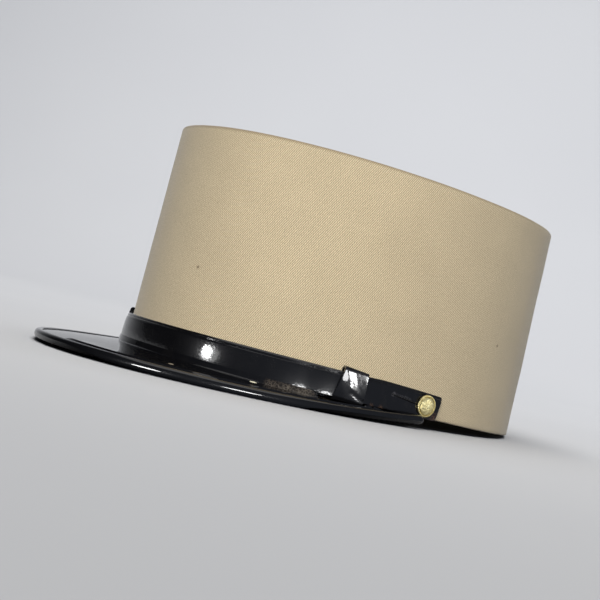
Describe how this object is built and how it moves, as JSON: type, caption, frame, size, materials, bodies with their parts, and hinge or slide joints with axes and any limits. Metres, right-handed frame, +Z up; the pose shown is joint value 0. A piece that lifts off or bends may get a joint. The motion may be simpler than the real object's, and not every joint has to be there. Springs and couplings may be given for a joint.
{
  "type": "kepi cap",
  "caption": "Stiff cylindrical cloth cap with a flat sunken top, a patent leather peak with a rolled edge, and a false chin strap with keepers and brass buttons.",
  "frame": {"origin": "on the surface that the cap rests on, under the middle of its bounding box", "axes": "+Z up, -Y towards the front of the peak, +X towards the wearer's left; the cap stands on its back rim and the front of its peak, so the crown leans back by 2.7 degrees"},
  "size_m": [0.1844, 0.2562, 0.114],
  "materials": {
    "khaki_twill": "matt cotton twill over board",
    "patent_leather": "mirror-glossy black patent leather",
    "worn_patent_leather": "black patent leather, creased and partly dulled",
    "brass": "polished brass with low relief"
  },
  "bodies": {
    "root": {"crown_side": "khaki_twill", "crown_top": "khaki_twill", "peak": "patent_leather", "peak_binding": "patent_leather", "strap_left": "worn_patent_leather", "strap_right": "patent_leather", "keeper_left": "worn_patent_leather", "keeper_right": "worn_patent_leather", "button_left": "brass", "button_right": "brass"}
  },
  "joints": []
}
